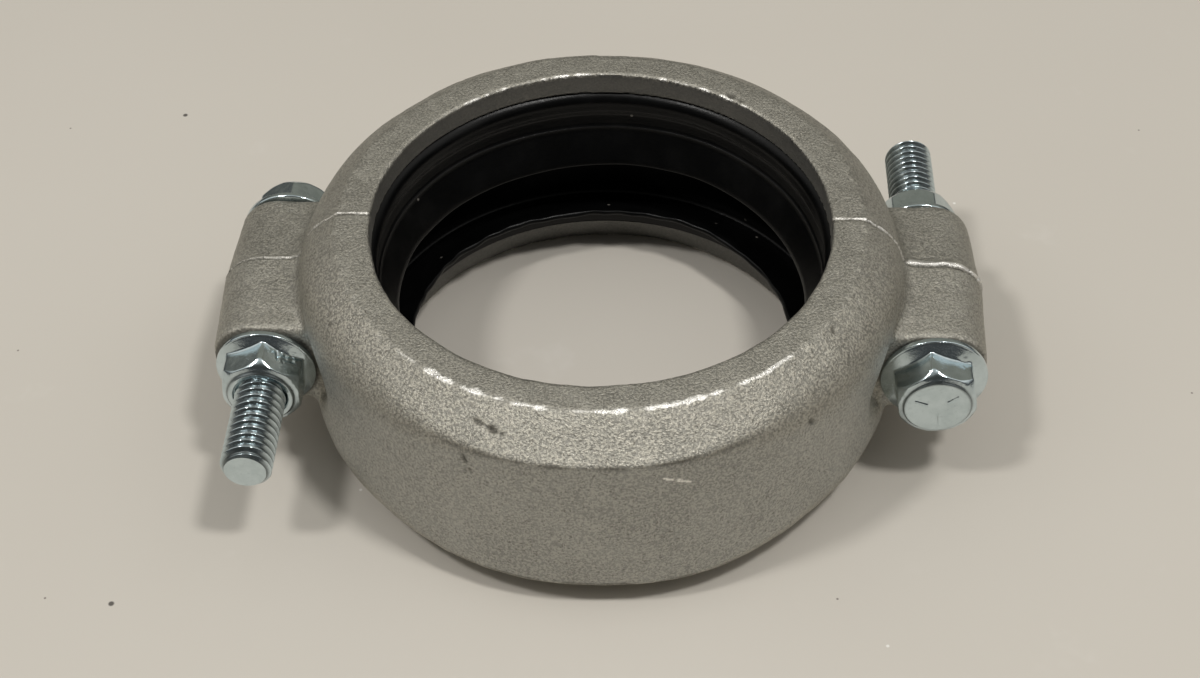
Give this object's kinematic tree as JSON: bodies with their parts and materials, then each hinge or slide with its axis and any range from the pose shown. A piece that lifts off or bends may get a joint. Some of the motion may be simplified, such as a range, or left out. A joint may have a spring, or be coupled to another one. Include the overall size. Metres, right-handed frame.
{
  "type": "grooved pipe coupling",
  "caption": "Round grooved pipe coupling: cast half rings with bolt pads at the sides, closed round a ring gasket by hexagon flange bolts and nuts.",
  "frame": {"origin": "on the pipe axis, half way along the coupling", "axes": "+Z along the pipe axis, +X across the bolts, +Y along the bolts from the front half to the rear half"},
  "size_m": [0.146, 0.114, 0.0438],
  "materials": {
    "casting": "shot-blasted casting",
    "gasket": "matte moulded rubber",
    "zinc_steel": "bright zinc plate"
  },
  "bodies": {
    "rear": {"housing_rear": "casting", "gasket": "gasket", "bolt_left": "zinc_steel"},
    "front": {"housing_front": "casting", "bolt_right": "zinc_steel"},
    "nut_left": {"nut_left": "zinc_steel"},
    "nut_right": {"nut_right": "zinc_steel"}
  },
  "joints": [
    {"name": "nut_left_turn", "type": "hinge", "parent": "front", "child": "nut_left", "pos_m": [-0.0625, -0.0185, 0], "axis": [0, -1, 0], "range_deg": [0, 3960]},
    {"name": "front_slide", "type": "slide", "parent": "rear", "child": "front", "axis": [0, -1, 0], "range_m": [0, 0.01746]},
    {"name": "nut_right_turn", "type": "hinge", "parent": "rear", "child": "nut_right", "pos_m": [0.0625, 0.0185, 0], "axis": [0, 1, 0], "range_deg": [0, 3960]}
  ],
  "couplings": [
    {"joint": "nut_left_turn", "follows": "front_slide", "rad_per_m": 3957.9},
    {"joint": "nut_right_turn", "follows": "front_slide", "rad_per_m": 3957.9}
  ]
}
